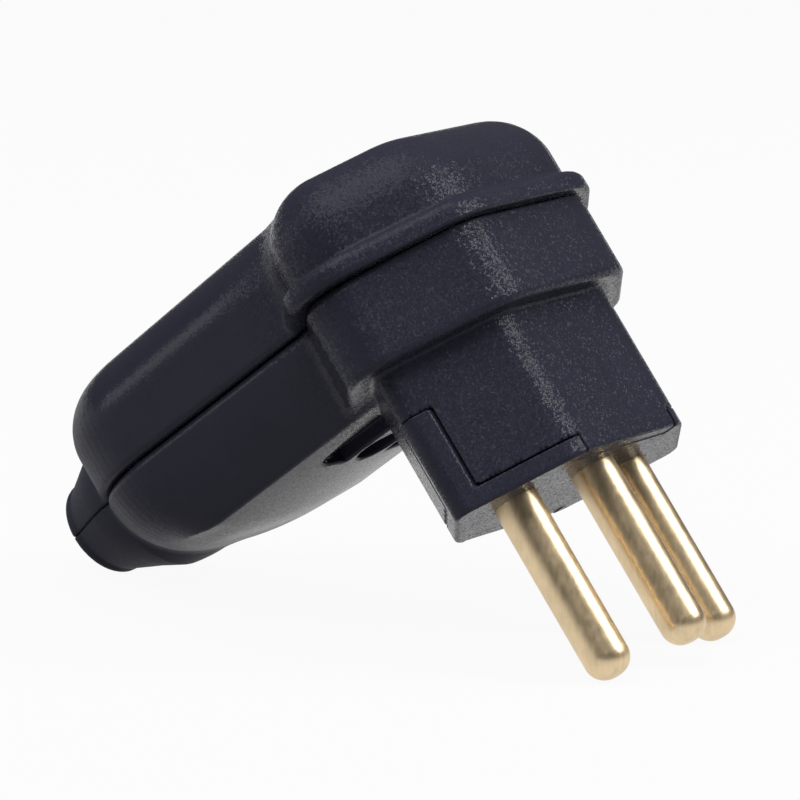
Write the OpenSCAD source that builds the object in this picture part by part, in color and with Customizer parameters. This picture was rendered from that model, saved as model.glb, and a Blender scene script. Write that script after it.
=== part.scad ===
// Right-angle mains plug with three round pins.
// Construction frame: X along the row of live pins, Y towards the cord outlet, Z away from the socket.
// The engagement face is Z = 0 and the pins point down. The finished plug is laid as it rests on a table:
// on the tips of the two live pins and on the rim of the cord outlet.

/* [Pins] */
// Diameter of each contact pin
pin_d = 4.5; // [4:0.1:5]
// Length of the pins outside the engagement face
pin_len = 19; // [15:0.5:22]
// Distance between the two live pins
pin_pitch = 19; // [17:0.5:20]
// Offset of the earth pin from the line of the live pins
earth_offset = 3; // [2:0.1:3.2]
// Rounding at the tips of the pins
pin_tip_r = 2; // [0.5:0.1:2]
// Diameter of a pin where the carrier holds it
pin_seat_d = 5; // [4.9:0.1:5.4]
// Diameter of the groove that anchors a pin in the carrier
pin_groove_d = 3.6; // [3:0.1:3.8]
// Width of the anchoring groove
pin_groove_w = 2; // [1:0.5:4]

/* [Terminals] */
// Diameter of the terminal on the inner end of a pin
terminal_d = 6.2; // [5.6:0.1:6.6]
// Length of the terminal
terminal_len = 11; // [9:0.5:13]
// Diameter of the cross hole for the wire
wire_hole_d = 3; // [2:0.1:3.6]
// Depth of the wire hole's centre below the end of the terminal
wire_hole_depth = 3.8; // [3:0.1:5]
// Diameter of a terminal screw
terminal_screw_d = 3; // [2.5:0.5:3.5]
// Length of a terminal screw under its head
terminal_screw_len = 4.6; // [3:0.1:6]
// Diameter of a terminal screw's head
terminal_head_d = 5; // [4:0.5:6]
// Height of a terminal screw's head
terminal_head_h = 1.8; // [1.2:0.1:2.5]

/* [Engagement block] */
// Width of the block from tip to tip, before rounding
block_w = 39; // [36:0.5:40]
// Length of the two long flat sides
block_flat = 17.7; // [16:0.1:19]
// Distance between the two long flat sides
block_h = 17.6; // [17:0.1:18.4]
// Depth of the block from its face to the head
block_depth = 15.3; // [13:0.1:16]
// Wall of the block
block_wall = 1.6; // [1.2:0.1:1.8]
// Rounding of the block's pointed ends
block_tip_r = 1.5; // [0.5:0.1:2.5]
// Rounding of the block's four side corners
block_corner_r = 2.75; // [1:0.25:4]

/* [Pin carrier] */
// Height of the band that shows round the pointed ends
band_h = 1.8; // [1.5:0.1:3]
// Width of the block's wall that reaches the face between the bands
band_break = 15.6; // [12:0.1:17]
// Height of the carrier's towers, where the terminals stand
tower_h = 11; // [8:0.5:12]
// Thickness of the carrier's plate
plate_t = 4; // [3:0.5:6]
// Height of the locking legs at the pointed ends
leg_h = 10.3; // [8:0.1:11.5]
// Width of a locking leg
leg_w = 3.8; // [2:0.1:4.2]
// Depth of the panel sunk into a leg's flanks
leg_panel = 0.4; // [0.2:0.1:0.6]
// Clearance between the carrier and the block
carrier_gap = 0.1; // [0.05:0.05:0.3]
// Wall of a tower round its pin
tower_wall = 0.8; // [0.6:0.1:1.2]

/* [Head] */
// Overhang of the head beyond the block
head_ledge = 2.65; // [2.2:0.05:3.5]
// Rounding of the head's lower edge
head_edge_r = 0.8; // [0.3:0.1:1]
// Height of the parting plane over the engagement face
parting_z = 24.1; // [23.5:0.1:25]

/* [Cover] */
// Overhang of the cover's lip beyond the head
lip_out = 1.2; // [0.4:0.1:1.5]
// Height of the lip
lip_h = 2.3; // [1.5:0.1:4]
// Rounding of the lip's upper edge
lip_edge_r = 1.1; // [0.2:0.1:1.2]
// Set-back of the dome behind the lip's edge
dome_setback = 1.4; // [1:0.05:2.5]
// Height of the dome over the engagement face
dome_z = 35.5; // [34.5:0.1:38]
// Rounding of the dome's upper edge
dome_edge_r = 6.5; // [4:0.1:7]
// Growth of the dome's corner roundings over those of the block
dome_soften = 5; // [3:0.1:6]

/* [Arm] */
// Width of the cover's arm
arm_w = 29.8; // [27:0.1:32]
// Distance from the pin row to the end of the arm
arm_end = 44.4; // [43:0.1:47]
// Rounding of the arm's end, seen along the pins
arm_end_r = 12.6; // [8:0.1:13]
// Height of the arm's top over the engagement face, at the pin row
arm_z = 35.6; // [34.5:0.1:37]
// Fall of the arm's top from the pin row to its end
arm_fall = 1.2; // [0:0.1:3]
// Rounding of the arm's upper edge
arm_edge_r = 6; // [3:0.1:7]
// Overhang of the cover's arm beyond the base's arm
arm_overhang = 0.3; // [0:0.05:0.6]
// Height of the arm's underside over the engagement face, at the pin row
arm_under_z = 13.2; // [12.5:0.1:14.2]
// Rise of the arm's underside from the pin row to its end
arm_rise = 1.7; // [0:0.1:3]
// Rounding of the arm's lower edge at its end
arm_under_r = 8.6; // [4:0.1:9]
// Rounding of the arm's lower edge at the head
arm_root_r = 4.7; // [2:0.1:5]
// Rounding of the arm's corners at the head, seen along the pins
arm_corner_r = 5.5; // [4:0.1:7]

/* [Walls] */
// Wall of the housing
wall = 2; // [1.5:0.1:2.5]
// Length of the locating ribs inside the cover
rib_len = 14; // [8:1:16]
// Thickness of the locating ribs
rib_t = 1.2; // [0.8:0.1:2]
// Reach of the locating ribs into the base
rib_reach = 2; // [1:0.1:4]
// Side clearance of the locating ribs
rib_gap = 0.15; // [0.05:0.05:0.4]

/* [Cord outlet] */
// Radius of the outlet's neck where it leaves the arm
outlet_neck_r = 8.2; // [7.4:0.1:8.4]
// Distance from the pin row to the start of the outlet's taper
outlet_taper_y = 43.5; // [42.5:0.1:44.5]
// Distance from the pin row to the outlet's end
outlet_end = 51.4; // [49.5:0.1:53]
// Radius of the rim at the outlet's end
outlet_rim_r = 5.15; // [4.9:0.05:5.6]
// Rounding of the rim
outlet_edge_r = 0.85; // [0.4:0.05:0.9]
// Step from the rim down to the small end of the taper
outlet_step = 0.2; // [0.05:0.05:0.4]
// Diameter of the bore for the cord
cord_d = 7; // [6:0.1:8]
// Flare of the bore's mouth
cord_mouth = 0.5; // [0.2:0.1:0.7]

/* [Cord clamp] */
// Distance from the pin row to the clamp
clamp_y = 31.5; // [28:0.5:33]
// Width of the clamp along the cord
clamp_w = 7; // [5:0.5:8]
// Bevel along the foot of the cord saddle, clear of the arm's rounded edges
saddle_bevel = 2.5; // [2:0.1:3]
// Distance between the clamp's screws
clamp_span = 16; // [15:0.5:17]
// Reach of the clamp's feet past its screws
clamp_foot = 2.6; // [2.4:0.1:3]
// Height of the clamp's feet
clamp_foot_h = 3; // [2:0.5:4]
// Distance of the clamp's seat below the cord's axis
clamp_drop = 1.5; // [1:0.1:2.5]
// Thickness of the clamp over the cord
clamp_t = 2; // [1.5:0.1:3]
// Diameter of a clamp screw
clamp_screw_d = 2.8; // [2:0.1:3]
// Length of a clamp screw in the base
clamp_screw_len = 4.5; // [3:0.5:5]
// Diameter of a clamp screw's head
clamp_head_d = 4.8; // [4:0.1:5.2]
// Height of a clamp screw's head
clamp_head_h = 1.8; // [1.2:0.1:2.5]

/* [Closing screw] */
// Distance from the pin row to the closing screw
screw_y = 16.5; // [16:0.5:19]
// Diameter of the closing screw
screw_d = 3.4; // [3:0.1:4]
// Length of the closing screw under its head
screw_len = 13; // [10:0.5:13]
// Diameter of the closing screw's head
screw_head_d = 5; // [4.8:0.1:5.4]
// Height of the closing screw's head
screw_head_h = 2; // [1.5:0.1:2.5]
// Depth of the screw's seat above the arm's underside
screw_seat = 5; // [4:0.5:6]
// Thickness of plastic under the screw's head
screw_floor = 2.4; // [1.8:0.1:3]
// Wall of the bosses round the screw
boss_wall = 1.8; // [1.4:0.1:2.4]
// Half of the width of the recess in the arm's underside
recess_half = 9.5; // [7:0.1:11]
// Distance from the pin row to the far edge of the recess
recess_end = 19.5; // [18:0.1:21]
// Rounding of the recess's corners
recess_r = 4; // [1:0.1:5]
// Depth of the recess at its outer edges
recess_depth = 1.1; // [0.5:0.1:1.6]
// Depth of the recess along the rib
recess_rim = 0.3; // [0.2:0.1:0.5]
// Width of the rib that carries the screw hole across the recess
recess_rib = 7; // [6.4:0.1:9]

/* [Screws] */
// Clearance round a screw in the hole that it cuts or passes
screw_gap = 0.1; // [0.05:0.05:0.2]
// Width of a screwdriver slot
slot_w = 0.8; // [0.5:0.1:1]
// Depth of a screwdriver slot
slot_depth = 0.9; // [0.5:0.1:1.1]

/* [Hidden] */
$fn = 64;
// Segments of the rounded skins
skin_fn = 40;
// Length by which cutters pass a face
past = 1;
// Thickness of the disc behind a sharp edge, and the least rounding of a corner
disc_t = 0.2;

plastic = [0.17, 0.175, 0.2];
carrier_black = [0.15, 0.15, 0.17];
brass = [0.8, 0.65, 0.38];
zinc = [0.7, 0.71, 0.72];

pin_r = pin_d / 2;
line_at = [-pin_pitch / 2, 0, 0];
neutral_at = [pin_pitch / 2, 0, 0];
earth_at = [0, -earth_offset, 0];
pin_places = [line_at, neutral_at, earth_at];
terminal_top = tower_h + terminal_len;

// Half of the angle at the block's pointed ends
tip_angle = atan2(block_h, block_w - block_flat);
cavity_inset = -block_wall;
lip_offset = head_ledge + lip_out;
dome_offset = lip_offset - dome_setback;
base_arm_w = arm_w - 2 * arm_overhang;
head_floor_z = block_depth + wall;

// Heights of the arm's underside and top at a distance y from the pin row
function under_at(y) = arm_under_z + arm_rise * y / arm_end;
function top_at(y) = arm_z - arm_fall * y / arm_end;

screw_under_z = under_at(screw_y);
screw_seat_z = screw_under_z + screw_seat;
boss_z = screw_seat_z + screw_floor;
screw_hole_r = screw_d / 2 + screw_gap;
screw_well_r = screw_head_d / 2 + 2 * screw_gap;
clamp_seat_z = parting_z - clamp_drop;
cord_r = cord_d / 2;
// Middle of the rim's rounding
rim_y = outlet_end - outlet_edge_r;
rim_mid_r = outlet_rim_r - outlet_edge_r;
recess_z = under_at(recess_end) + recess_depth;

// Rest on a table: tilt about X, height of the table and middle of the footprint's length
rest_run = rim_y - pin_r + pin_tip_r;
rest_rise = parting_z - rim_mid_r + pin_len - pin_tip_r;
rest_tilt = atan2(rest_rise, rest_run) + asin((pin_tip_r - outlet_edge_r) / norm([rest_run, rest_rise]));
table_drop = (pin_r - pin_tip_r) * sin(rest_tilt) + (pin_len - pin_tip_r) * cos(rest_tilt) + pin_tip_r;
earth_tip_y = -(earth_offset + pin_r - pin_tip_r) * cos(rest_tilt)
    - (pin_len - pin_tip_r) * sin(rest_tilt) - pin_tip_r;
outlet_back_y = rim_y * cos(rest_tilt) + (parting_z + rim_mid_r) * sin(rest_tilt) + outlet_edge_r;
rest_mid = (earth_tip_y + outlet_back_y) / 2;

// Lays a piece from the construction frame onto the table
module lay() {
    translate([0, -rest_mid, table_drop])
        rotate([-rest_tilt, 0, 0])
            children();
}

// Corners of the engagement hexagon, moved outwards by d
function hex_points(d) =
    let (tip = block_w / 2 + d / sin(tip_angle))
    let (side = block_flat / 2 + d * tan(tip_angle / 2))
    let (half = block_h / 2 + d)
    [[tip, 0], [side, half], [-side, half], [-tip, 0], [-side, -half], [side, -half]];

// Corner discs [x, y, radius, edge rounding, share of slope] of a hexagon moved outwards by d,
// its roundings grown by grow
function hex_discs(d, grow, edge) =
    let (tip_r = max(block_tip_r + grow, disc_t))
    let (corner_r = max(block_corner_r + grow, disc_t))
    let (tips = hex_points(d - tip_r))
    let (sides = hex_points(d - corner_r))
    [for (i = [0:5]) i % 3 == 0
        ? [tips[i].x, 0, tip_r, edge, 0]
        : [sides[i].x, sides[i].y, corner_r, edge, 0]];

// Corner discs of an arm of width w that ends at y, with the edge roundings at its end and its root
function arm_discs(w, y, end_r, end_edge, root_edge) =
    [for (side = [-1, 1], end = [0, 1])
        let (r = end == 1 ? end_r : arm_corner_r)
        let (along = end == 1 ? y - r : r)
        [side * (w / 2 - r), along, r, end == 1 ? end_edge : root_edge, along / arm_end]];

// One corner of a skin: a disc of radius r at height z, its edge rounded by e on the side given by up
module skin_corner(r, e, z, up) {
    edge = min(e, r);
    if (edge > 0)
        translate([0, 0, z - up * edge])
            rotate_extrude($fn = skin_fn)
                intersection() {
                    translate([r - edge, 0])
                        circle(r = edge, $fn = skin_fn);
                    translate([0, up > 0 ? 0 : -edge])
                        square([r, edge]);
                }
    else
        translate([0, 0, z])
            mirror([0, 0, up > 0 ? 1 : 0])
                cylinder(r1 = r, r2 = r / 2, h = disc_t, $fn = skin_fn);
}

// Slab round a list of corner discs, from a sharp edge at flat_z to a rounded edge at round_z,
// where its face slopes along the arm
module skin(discs, flat_z, round_z, slope = 0) {
    up = round_z > flat_z ? 1 : -1;
    hull()
        for (disc = discs)
            translate([disc.x, disc.y, 0]) {
                skin_corner(disc.z, 0, flat_z, -up);
                skin_corner(disc.z, disc[3], round_z + slope * disc[4], up);
            }
}

// Cylinder along Y between two distances from the pin row, at the height of the parting plane
module along_y(r, from, to) {
    translate([0, from, parting_z])
        rotate([-90, 0, 0])
            cylinder(r = r, h = to - from);
}

// Turned snout of the outlet, whole: neck, taper and rounded rim
module outlet() {
    along_y(outlet_neck_r, arm_end - arm_end_r / 2, outlet_taper_y);
    translate([0, outlet_taper_y, parting_z])
        rotate([-90, 0, 0])
            cylinder(r1 = outlet_neck_r, r2 = outlet_rim_r - outlet_step, h = rim_y - outlet_taper_y);
    along_y(rim_mid_r, rim_y - outlet_edge_r, outlet_end);
    translate([0, rim_y, parting_z])
        rotate([-90, 0, 0])
            rotate_extrude()
                translate([rim_mid_r, 0])
                    circle(r = outlet_edge_r);
}

// Bore of the outlet with its flared mouth
module outlet_bore() {
    along_y(cord_r, arm_end - arm_end_r, outlet_end + past);
    translate([0, outlet_end - cord_mouth, parting_z])
        rotate([-90, 0, 0])
            cylinder(r1 = cord_r, r2 = cord_r + 2 * cord_mouth, h = 2 * cord_mouth);
}

// Half space above or below the parting plane
module half_space(up) {
    reach = 2 * arm_end;
    translate([-reach, -reach, up > 0 ? parting_z : parting_z - reach])
        cube([2 * reach, 3 * reach, reach]);
}

// Prism of the engagement block's outside between two heights
module block_prism(low, high) {
    skin(hex_discs(0, 0, 0), low, high);
}

// Prism of the inside of the engagement block, made smaller by gap
module block_cavity(low, high, gap) {
    translate([0, 0, low])
        linear_extrude(high - low)
            polygon(hex_points(cavity_inset - gap));
}

// Notches at both pointed ends for the locking legs, narrowed by gap
module leg_slots(high, gap) {
    inner = block_w / 2 - block_wall / sin(tip_angle) - leg_w;
    for (side = [-1, 1])
        translate([side > 0 ? inner : -inner - block_w, -leg_w / 2 + gap, -past])
            cube([block_w, leg_w - 2 * gap, high + past]);
}

// Space at both pointed ends that the carrier's band fills, shortened by gap
module band_space(high, gap) {
    for (side = [-1, 1])
        translate([side > 0 ? band_break / 2 + gap : -band_break / 2 - gap - block_w, -block_h, -past])
            cube([block_w, 2 * block_h, high + past]);
}

// Locating rib under the cover's side wall
module locating_rib() {
    outer = base_arm_w / 2 - wall - rib_gap;
    from = screw_y - rib_len / 2 + rib_gap;
    for (side = [-1, 1])
        translate([side > 0 ? outer - rib_t : -outer, from, parting_z - rib_reach])
            cube([rib_t, rib_len, rib_reach]);
    for (side = [-1, 1])
        translate([side > 0 ? outer - rib_t : -outer - wall, from, parting_z])
            cube([rib_t + wall, rib_len, rib_reach]);
}

// Screwdriver slot across a head whose top is at z = 0
module driver_slot(head_d) {
    translate([-head_d, -slot_w / 2, -slot_depth])
        cube([2 * head_d, slot_w, slot_depth + past]);
}

// Slotted screw, pointing down, with the underside of its head at z = 0
module slotted_screw(d, length, head_d, head_h) {
    difference() {
        union() {
            translate([0, 0, -length])
                cylinder(d = d, h = length);
            cylinder(d = head_d, h = head_h);
        }
        translate([0, 0, head_h])
            driver_slot(head_d);
    }
}

// Half section of a pin from its tip to the top of its terminal
module pin_section() {
    groove_z = tower_h / 2;
    translate([0, pin_tip_r - pin_len])
        square([pin_r, pin_len - pin_tip_r]);
    square([pin_seat_d / 2, groove_z - pin_groove_w / 2]);
    translate([0, -pin_len])
        square([pin_r - pin_tip_r, pin_tip_r + past / 2]);
    intersection() {
        translate([pin_r - pin_tip_r, pin_tip_r - pin_len])
            circle(r = pin_tip_r);
        translate([0, -pin_len])
            square([pin_r, pin_tip_r]);
    }
    translate([0, groove_z - pin_groove_w / 2])
        square([pin_groove_d / 2, pin_groove_w]);
    translate([0, groove_z + pin_groove_w / 2])
        square([pin_seat_d / 2, tower_h - groove_z - pin_groove_w / 2]);
    translate([0, tower_h])
        square([terminal_d / 2, terminal_len]);
}

// Contact pin with its terminal, drilled for the wire and the terminal screw
module contact_pin() {
    difference() {
        rotate_extrude()
            pin_section();
        translate([0, terminal_d, terminal_top - wire_hole_depth])
            rotate([90, 0, 0])
                cylinder(d = wire_hole_d, h = 2 * terminal_d);
        translate([0, 0, terminal_top - terminal_screw_len - screw_gap])
            cylinder(d = terminal_screw_d + 2 * screw_gap, h = terminal_screw_len + screw_gap + past);
    }
}

module terminal_screw() {
    translate([0, 0, terminal_top])
        slotted_screw(terminal_screw_d, terminal_screw_len, terminal_head_d, terminal_head_h);
}

// Saddle under the cord, standing on the arm's floor
module cord_saddle() {
    half = clamp_span / 2 + clamp_foot;
    foot_z = under_at(clamp_y) + wall / 2;
    difference() {
        translate([0, clamp_y + clamp_w / 2, 0])
            rotate([90, 0, 0])
                linear_extrude(clamp_w)
                    polygon([
                        [-half, clamp_seat_z],
                        [-half, foot_z + saddle_bevel],
                        [saddle_bevel - half, foot_z],
                        [half - saddle_bevel, foot_z],
                        [half, foot_z + saddle_bevel],
                        [half, clamp_seat_z]
                    ]);
        along_y(cord_r, clamp_y - clamp_w, clamp_y + clamp_w);
        for (side = [-1, 1])
            translate([side * clamp_span / 2, clamp_y, clamp_seat_z - clamp_screw_len - screw_gap])
                cylinder(d = clamp_screw_d + 2 * screw_gap, h = clamp_screw_len + past);
    }
}

// Outline of the recess in the arm's underside, grown by d
module recess_outline(d) {
    half = recess_half + d;
    length = recess_end + d;
    corner = recess_r + d;
    square([2 * (half - corner), 2 * length], center = true);
    square([2 * half, 2 * (length - corner)], center = true);
    for (side = [-1, 1])
        translate([side * (half - corner), length - corner])
            circle(r = corner);
}

// Space of the recess behind the engagement block: its roof slopes up from the rib with the screw hole
module recess() {
    rim_z = recess_z - recess_depth + recess_rim;
    intersection() {
        linear_extrude(recess_z + past)
            recess_outline(0);
        translate([0, block_h / 2, 0])
            rotate([90, 0, 180])
                linear_extrude(recess_end)
                    for (side = [-1, 1])
                        polygon([
                            [side * recess_rib / 2, 0],
                            [side * recess_rib / 2, rim_z],
                            [side * recess_half, recess_z],
                            [side * (recess_half + past), 0]
                        ]);
    }
}

// Floor inside the arm over the recess
module recess_floor() {
    intersection() {
        translate([0, 0, recess_z])
            linear_extrude(wall)
                recess_outline(wall);
        translate([-block_w, block_h / 2 - block_wall, 0])
            cube([2 * block_w, arm_end, parting_z]);
    }
}

module base_shell() {
    color(plastic)
        lay()
            difference() {
                union() {
                    difference() {
                        union() {
                            block_prism(0, head_floor_z);
                            skin(hex_discs(head_ledge, head_ledge, head_edge_r), parting_z, block_depth);
                            skin(arm_discs(base_arm_w, arm_end - arm_overhang, arm_end_r, arm_under_r, arm_root_r),
                                parting_z, arm_under_z, arm_rise);
                            intersection() {
                                outlet();
                                half_space(-1);
                            }
                        }
                        block_cavity(-past, head_floor_z + past, 0);
                        skin(hex_discs(head_ledge - wall, head_ledge - wall, 0), parting_z + past, head_floor_z);
                        skin(arm_discs(base_arm_w - 2 * wall, arm_end - arm_overhang - wall, arm_end_r - wall,
                            arm_under_r - wall, arm_root_r), parting_z + past, arm_under_z + wall, arm_rise);
                    }
                    translate([0, screw_y, screw_under_z + wall / 2])
                        cylinder(r = screw_well_r + boss_wall, h = boss_z - screw_under_z - wall / 2);
                    recess_floor();
                    cord_saddle();
                }
                outlet_bore();
                leg_slots(leg_h + carrier_gap, 0);
                band_space(band_h + carrier_gap, 0);
                for (place = pin_places)
                    translate(place)
                        cylinder(d = terminal_d + 2 * carrier_gap, h = parting_z);
                translate([0, screw_y, 0])
                    cylinder(r = screw_well_r, h = screw_seat_z);
                translate([0, screw_y, 0])
                    cylinder(r = screw_hole_r, h = parting_z);
                recess();
            }
}

module cover_shell() {
    color(plastic)
        lay()
            difference() {
                union() {
                    difference() {
                        union() {
                            skin(hex_discs(lip_offset, lip_offset, lip_edge_r), parting_z, parting_z + lip_h);
                            skin(hex_discs(dome_offset, dome_soften, dome_edge_r), parting_z, dome_z);
                            skin(arm_discs(arm_w, arm_end, arm_end_r, arm_edge_r, arm_edge_r), parting_z, arm_z,
                                -arm_fall);
                            intersection() {
                                outlet();
                                half_space(1);
                            }
                        }
                        skin(hex_discs(dome_offset - wall, dome_soften - wall, dome_edge_r - wall),
                            parting_z - past, dome_z - wall);
                        skin(arm_discs(arm_w - 2 * wall, arm_end - wall, arm_end_r - wall, arm_edge_r - wall,
                            arm_edge_r - wall), parting_z - past, arm_z - wall, -arm_fall);
                    }
                    translate([0, screw_y, boss_z])
                        cylinder(r = screw_hole_r + boss_wall, h = top_at(screw_y) - wall / 2 - boss_z);
                    locating_rib();
                }
                outlet_bore();
                translate([0, screw_y, boss_z - past])
                    cylinder(r = screw_hole_r, h = screw_len - screw_floor + 2 * past);
            }
}

module pin_carrier() {
    flank = 90 - tip_angle;
    color(carrier_black)
        lay()
            difference() {
                union() {
                    intersection() {
                        block_prism(0, band_h);
                        band_space(band_h, carrier_gap);
                    }
                    intersection() {
                        block_prism(0, leg_h);
                        leg_slots(leg_h, carrier_gap);
                    }
                    block_cavity(0, plate_t, carrier_gap);
                    intersection() {
                        for (place = pin_places)
                            translate(place)
                                cylinder(d = pin_seat_d + 2 * tower_wall, h = tower_h);
                        block_cavity(0, tower_h, carrier_gap);
                    }
                }
                for (place = pin_places)
                    translate(place)
                        rotate_extrude()
                            pin_section();
                for (turn = [0, 180], up = [-1, 1])
                    rotate([0, 0, turn])
                        translate([block_w / 2, 0, band_h])
                            rotate([0, 0, up * (180 - tip_angle)])
                                translate([block_tip_r, -leg_panel, 0])
                                    cube([leg_w, 2 * leg_panel, leg_h - band_h - leg_panel]);
            }
}

module line_pin() {
    color(brass)
        lay()
            translate(line_at)
                contact_pin();
}

module neutral_pin() {
    color(brass)
        lay()
            translate(neutral_at)
                contact_pin();
}

module earth_pin() {
    color(brass)
        lay()
            translate(earth_at)
                contact_pin();
}

module line_terminal_screw() {
    color(zinc)
        lay()
            translate(line_at)
                terminal_screw();
}

module neutral_terminal_screw() {
    color(zinc)
        lay()
            translate(neutral_at)
                terminal_screw();
}

module earth_terminal_screw() {
    color(zinc)
        lay()
            translate(earth_at)
                terminal_screw();
}

module cord_clamp() {
    half = clamp_span / 2 + clamp_foot;
    hump_r = cord_r + clamp_t;
    color(carrier_black)
        lay()
            difference() {
                union() {
                    translate([-half, clamp_y - clamp_w / 2, clamp_seat_z])
                        cube([2 * half, clamp_w, clamp_foot_h]);
                    intersection() {
                        along_y(hump_r, clamp_y - clamp_w / 2, clamp_y + clamp_w / 2);
                        translate([-half, 0, clamp_seat_z])
                            cube([2 * half, arm_end, 2 * hump_r]);
                    }
                }
                along_y(cord_r, clamp_y - clamp_w, clamp_y + clamp_w);
                for (side = [-1, 1])
                    translate([side * clamp_span / 2, clamp_y, clamp_seat_z - past])
                        cylinder(d = clamp_screw_d + 2 * screw_gap, h = clamp_foot_h + 2 * past);
            }
}

// Clamp screw on one side of the cord
module clamp_screw(side) {
    color(zinc)
        lay()
            translate([side * clamp_span / 2, clamp_y, clamp_seat_z + clamp_foot_h])
                slotted_screw(clamp_screw_d, clamp_foot_h + clamp_screw_len, clamp_head_d, clamp_head_h);
}

module clamp_screw_left() {
    clamp_screw(-1);
}

module clamp_screw_right() {
    clamp_screw(1);
}

module closing_screw() {
    color(zinc)
        lay()
            translate([0, screw_y, screw_seat_z])
                mirror([0, 0, 1])
                    slotted_screw(screw_d, screw_len, screw_head_d, screw_head_h);
}

base_shell();
cover_shell();
pin_carrier();
line_pin();
neutral_pin();
earth_pin();
line_terminal_screw();
neutral_terminal_screw();
earth_terminal_screw();
cord_clamp();
clamp_screw_left();
clamp_screw_right();
closing_screw();
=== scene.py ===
"""Right-angle mains plug: finished pieces, finishes and studio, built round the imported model."""
import logging
import math
from dataclasses import dataclass, field
from enum import Enum
from typing import Any, Callable, Union

import bpy
import numpy as np
from mathutils import Matrix, Vector


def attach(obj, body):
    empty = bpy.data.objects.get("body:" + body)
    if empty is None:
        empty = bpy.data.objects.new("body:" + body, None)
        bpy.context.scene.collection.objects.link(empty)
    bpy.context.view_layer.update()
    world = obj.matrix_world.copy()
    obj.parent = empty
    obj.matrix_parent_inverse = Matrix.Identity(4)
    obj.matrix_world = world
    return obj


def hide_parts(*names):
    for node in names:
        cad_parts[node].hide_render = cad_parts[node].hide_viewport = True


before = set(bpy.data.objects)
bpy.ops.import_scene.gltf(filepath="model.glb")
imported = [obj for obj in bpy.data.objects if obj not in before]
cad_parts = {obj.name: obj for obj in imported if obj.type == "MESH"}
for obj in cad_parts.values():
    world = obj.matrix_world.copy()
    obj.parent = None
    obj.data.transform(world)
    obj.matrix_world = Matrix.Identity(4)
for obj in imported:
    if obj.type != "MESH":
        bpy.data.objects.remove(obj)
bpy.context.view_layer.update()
LOG = logging.getLogger("plug")
Array = np.ndarray
Value = Union["Socket", float]
MM = 0.001
BODY = "root"
PARTING = 24.1
NOISE_SPREAD = (0.3, 0.7)


class Slot(Enum):
    """Material slots of the record."""

    HOUSING = "housing"
    INSULATOR = "insulator"


# Shader expressions


class Graph:
    """A material's node tree with one method that makes any node."""

    def __init__(self, name: str) -> None:
        """Start an empty material.

        Args:
            name: Name of the material.
        """
        self.material = bpy.data.materials.new(name)
        self.material.use_nodes = True
        self.tree = self.material.node_tree
        self.tree.nodes.clear()

    def node(self, kind: str, settings: dict[str, Any] | None = None, out: int | str = 0,
             **inputs: Any) -> "Socket":
        """Make a node, set it up and link or fill its sockets.

        Args:
            kind: Blender's type name of the node.
            settings: Properties set first.
            out: Output socket to return, by name or number.
            inputs: Values or sockets by input name, with _ for a space and a leading i for a number.

        Returns:
            The chosen output, wrapped.
        """
        made = self.tree.nodes.new(kind)
        for key, value in (settings or {}).items():
            setattr(made, key, value)
        for key, value in inputs.items():
            place = int(key[1:]) if key[0] == "i" and key[1:].isdigit() else key.replace("_", " ")
            socket = made.inputs[place]
            if isinstance(value, Socket):
                self.tree.links.new(value.socket, socket)
            else:
                socket.default_value = value
        return Socket(self, made.outputs[out])

    def close(self, surface: "Socket") -> bpy.types.Material:
        """Link a shader to the material's output and return the material.

        Args:
            surface: The shader.

        Returns:
            The finished material.
        """
        end = self.tree.nodes.new("ShaderNodeOutputMaterial")
        self.tree.links.new(surface.socket, end.inputs["Surface"])
        return self.material


@dataclass(frozen=True)
class Socket:
    """A shader value; its operators add Math nodes."""

    graph: Graph
    socket: Any

    def _math(self, operation: str, a: Value, b: Value = 0.0) -> "Socket":
        """Add one Math node on two values."""
        return self.graph.node("ShaderNodeMath", {"operation": operation}, i0=a, i1=b)

    def __add__(self, other: Value) -> "Socket":
        """Sum of two values."""
        return self._math("ADD", self, other)

    def __sub__(self, other: Value) -> "Socket":
        """Difference of two values."""
        return self._math("SUBTRACT", self, other)

    def __rsub__(self, other: Value) -> "Socket":
        """Difference with a number on the left."""
        return self._math("SUBTRACT", other, self)

    def __mul__(self, other: Value) -> "Socket":
        """Product of two values."""
        return self._math("MULTIPLY", self, other)

    __radd__ = __add__
    __rmul__ = __mul__

    def over(self, low: float, high: float) -> "Socket":
        """Share of the way from low to high, held between 0 and 1."""
        return self.graph.node("ShaderNodeMapRange", Value=self, From_Min=low, From_Max=high)

    def vector(self, operation: str, other: Any = (0.0, 0.0, 0.0)) -> "Socket":
        """Add one Vector Math node on this vector and another."""
        return self.graph.node("ShaderNodeVectorMath", {"operation": operation}, i0=self, i1=other)

    def tint(self, dark: tuple, light: tuple) -> "Socket":
        """Mix two colours by this value."""
        return self.graph.node("ShaderNodeMix", {"data_type": "RGBA"}, out=2, i0=self,
                               i6=(*dark, 1), i7=(*light, 1))


# Finishes


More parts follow.
